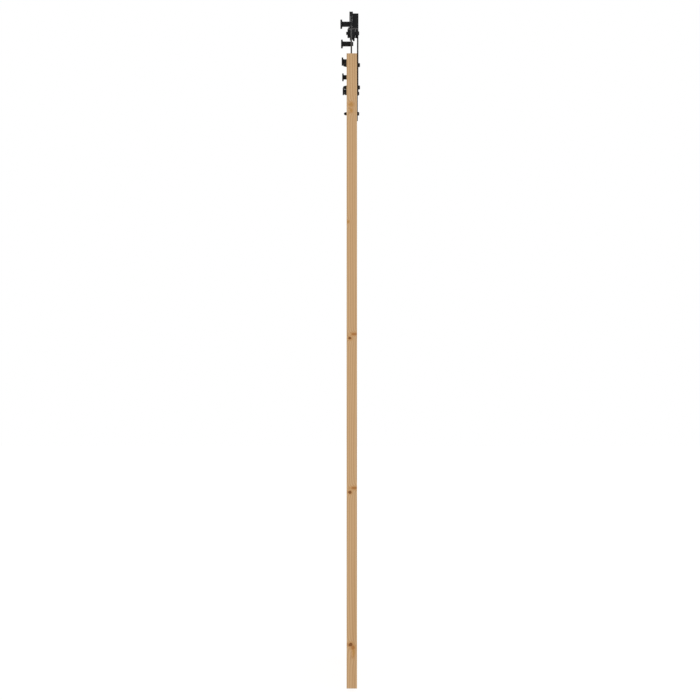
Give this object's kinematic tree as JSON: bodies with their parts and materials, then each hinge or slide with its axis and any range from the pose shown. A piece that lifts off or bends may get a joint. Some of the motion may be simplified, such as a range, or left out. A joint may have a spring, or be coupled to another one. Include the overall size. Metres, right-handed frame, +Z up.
{
  "type": "sliding barn door with wall track",
  "caption": "Boarded pine door leaf hung by flanged wheels from a flat steel track that stands off the wall; slides sideways between rubber-faced end stops.",
  "frame": {"origin": "centre of the tapped hole in the foot of the middle standoff, on the wall's face", "axes": "+X along the track to the right as seen from the room, +Y into the wall, +Z up"},
  "size_m": [1.83, 0.0632, 2.2044],
  "materials": {
    "pine": "planed, unfinished pine",
    "beech": "plain dowel",
    "black_steel": "satin black powder coat",
    "bearing_steel": "ground",
    "plain_steel": "turned",
    "bumper_rubber": "matt"
  },
  "bodies": {
    "track": {"rail": "black_steel", "standoff_1": "black_steel", "standoff_2": "black_steel", "standoff_3": "black_steel", "standoff_4": "black_steel", "standoff_5": "black_steel", "rail_bolts": "black_steel", "end_stop_left": "black_steel", "end_stop_right": "black_steel", "bumper_left": "bumper_rubber", "bumper_right": "bumper_rubber", "stop_screws": "black_steel"},
    "door": {"door_stile_left": "pine", "door_stile_right": "pine", "door_bottom_rail": "pine", "door_middle_rail": "pine", "door_top_rail": "pine", "frame_dowels": "beech", "lower_board_1": "pine", "lower_board_2": "pine", "lower_board_3": "pine", "lower_board_4": "pine", "lower_board_5": "pine", "lower_board_6": "pine", "upper_board_1": "pine", "upper_board_2": "pine", "upper_board_3": "pine", "upper_board_4": "pine", "upper_board_5": "pine", "upper_board_6": "pine", "lower_brace": "pine", "upper_brace": "pine", "hanger_strap_left": "black_steel", "axle_screw_left": "black_steel", "distance_collar_left": "black_steel", "axle_sleeve_left": "plain_steel", "axle_washer_left": "black_steel", "axle_nut_left": "black_steel", "bearing_inners_left": "bearing_steel", "hanger_strap_right": "black_steel", "axle_screw_right": "black_steel", "distance_collar_right": "black_steel", "axle_sleeve_right": "plain_steel", "axle_washer_right": "black_steel", "axle_nut_right": "black_steel", "bearing_inners_right": "bearing_steel", "door_bolts": "black_steel", "door_washers": "black_steel", "cap_nuts": "black_steel"},
    "left_wheel": {"wheel_left": "black_steel", "bearing_outers_left": "bearing_steel", "bearing_balls_left": "bearing_steel"},
    "right_wheel": {"wheel_right": "black_steel", "bearing_outers_right": "bearing_steel", "bearing_balls_right": "bearing_steel"}
  },
  "joints": [
    {"name": "door_slide", "type": "slide", "parent": "track", "child": "door", "axis": [1, 0, 0], "range_m": [-0.457, 0.457]},
    {"name": "left_wheel_spin", "type": "hinge", "parent": "door", "child": "left_wheel", "pos_m": [-0.37, -0.03425, 0.041], "axis": [0, 1, 0], "range_deg": [-1250, 1250]},
    {"name": "right_wheel_spin", "type": "hinge", "parent": "door", "child": "right_wheel", "pos_m": [0.37, -0.03425, 0.041], "axis": [0, 1, 0], "range_deg": [-1250, 1250]}
  ],
  "couplings": [
    {"joint": "left_wheel_spin", "follows": "door_slide", "rad_per_m": 47.619},
    {"joint": "right_wheel_spin", "follows": "door_slide", "rad_per_m": 47.619}
  ]
}
